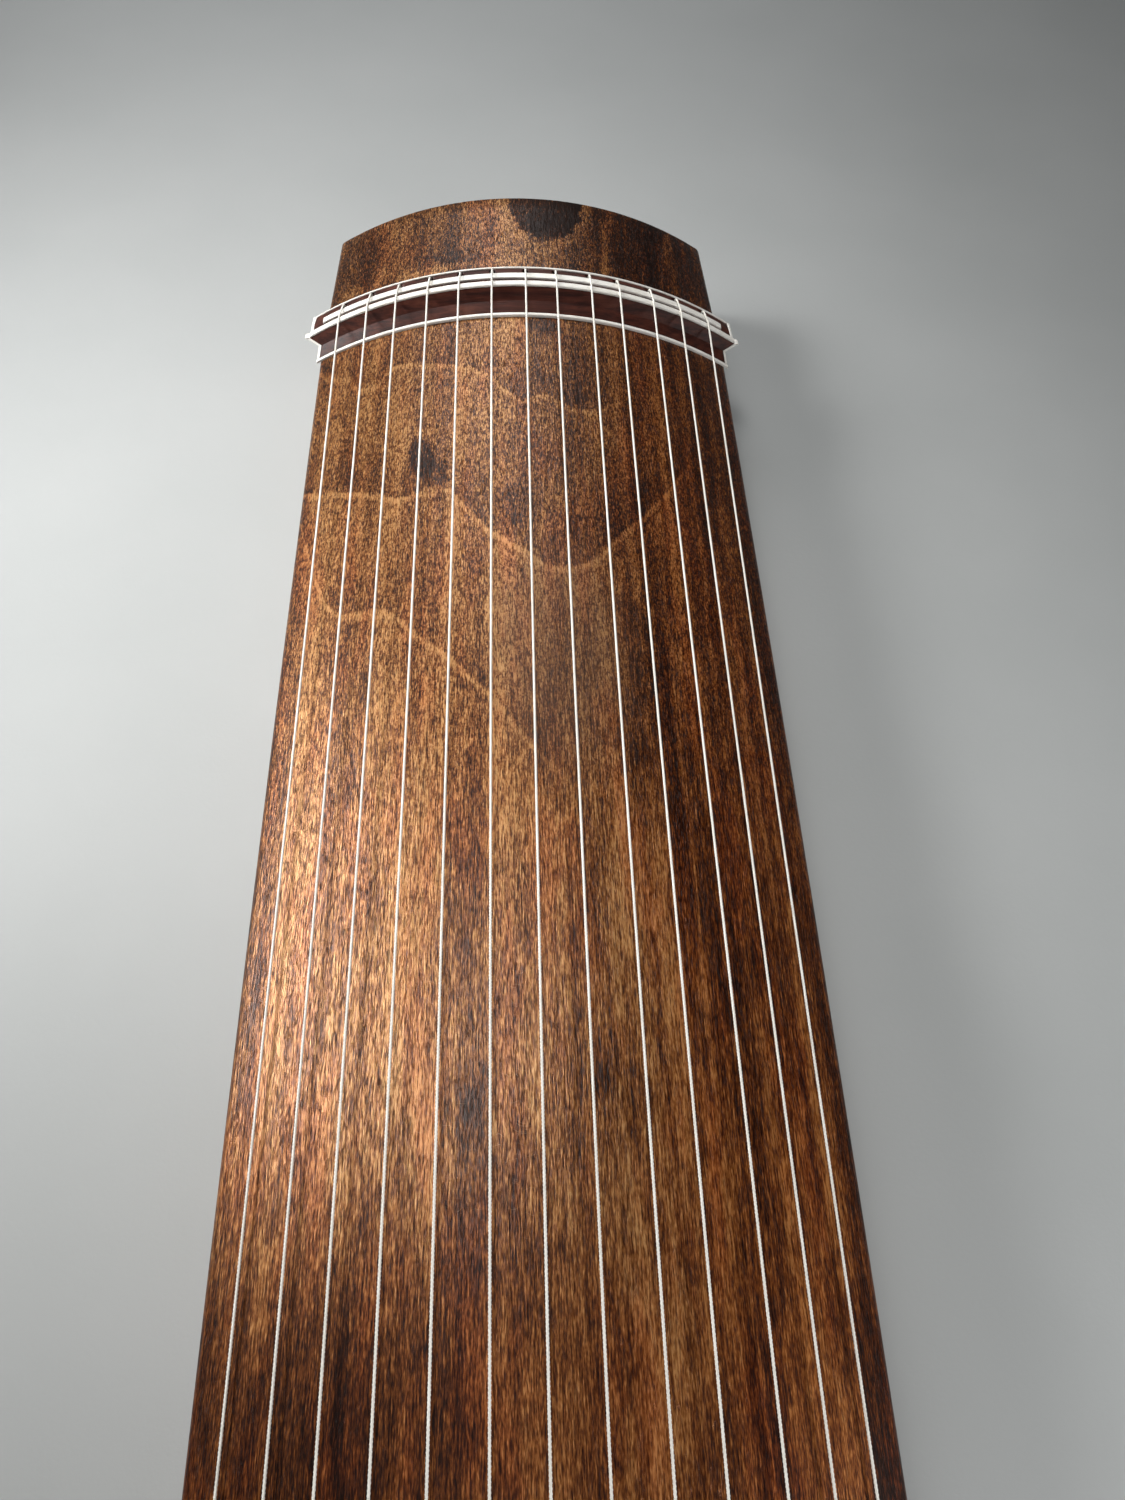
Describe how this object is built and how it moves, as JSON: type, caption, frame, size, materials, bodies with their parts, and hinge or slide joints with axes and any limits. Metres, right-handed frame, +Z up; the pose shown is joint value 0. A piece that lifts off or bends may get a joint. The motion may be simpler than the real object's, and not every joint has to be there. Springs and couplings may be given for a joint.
{
  "type": "long board zither",
  "caption": "Long crowned board zither with a hollow wooden body, inlaid saddles at both ends, twisted strings and a closed back with sound holes.",
  "frame": {"origin": "centre of the footprint, on the plane of the feet's soles", "axes": "+Y along the instrument towards the head, +Z up from the soundboard, X across"},
  "size_m": [0.2746, 1.8202, 0.1026],
  "materials": {
    "burnt_paulownia": "toned red-brown open-grained wood with a low satin sheen",
    "raw_paulownia": "bare planed wood, matt",
    "rosewood": "dark red-brown close-grained hardwood, polished satin",
    "ivory_inlay": "creamy white synthetic inlay, smooth",
    "string_white": "finely twisted white string with a slight wax sheen",
    "rolled_paper": "rolled matt paper"
  },
  "bodies": {
    "root": {"top_shell": "burnt_paulownia", "back_board": "burnt_paulownia", "head_end_board": "burnt_paulownia", "tail_end_board": "burnt_paulownia", "bulkhead_head": "raw_paulownia", "bulkhead_middle": "raw_paulownia", "bulkhead_tail": "raw_paulownia", "tongue_panel": "rosewood", "tongue_border": "ivory_inlay", "head_saddle_bar": "rosewood", "head_saddle_crest": "ivory_inlay", "head_saddle_foot_line": "ivory_inlay", "head_saddle_second_band": "ivory_inlay", "head_saddle_rear_line": "ivory_inlay", "head_saddle_cap_left": "ivory_inlay", "head_saddle_cap_right": "ivory_inlay", "tail_saddle_bar": "rosewood", "tail_saddle_crest": "ivory_inlay", "tail_saddle_foot_line": "ivory_inlay", "tail_saddle_second_band": "ivory_inlay", "tail_saddle_rear_line": "ivory_inlay", "tail_saddle_cap_left": "ivory_inlay", "tail_saddle_cap_right": "ivory_inlay", "tail_panel": "rosewood", "tail_panel_edge": "ivory_inlay", "head_foot_left": "rosewood", "head_foot_right": "rosewood", "tail_foot_left": "rosewood", "tail_foot_right": "rosewood", "string_01": "string_white", "string_02": "string_white", "string_03": "string_white", "string_04": "string_white", "string_05": "string_white", "string_06": "string_white", "string_07": "string_white", "string_08": "string_white", "string_09": "string_white", "string_10": "string_white", "string_11": "string_white", "string_12": "string_white", "string_13": "string_white", "string_toggle_01": "rolled_paper", "string_toggle_02": "rolled_paper", "string_toggle_03": "rolled_paper", "string_toggle_04": "rolled_paper", "string_toggle_05": "rolled_paper", "string_toggle_06": "rolled_paper", "string_toggle_07": "rolled_paper", "string_toggle_08": "rolled_paper", "string_toggle_09": "rolled_paper", "string_toggle_10": "rolled_paper", "string_toggle_11": "rolled_paper", "string_toggle_12": "rolled_paper", "string_toggle_13": "rolled_paper", "spare_string_coil_left": "string_white", "spare_string_lead_left": "string_white", "spare_string_coil_right": "string_white", "spare_string_lead_right": "string_white"}
  },
  "joints": []
}
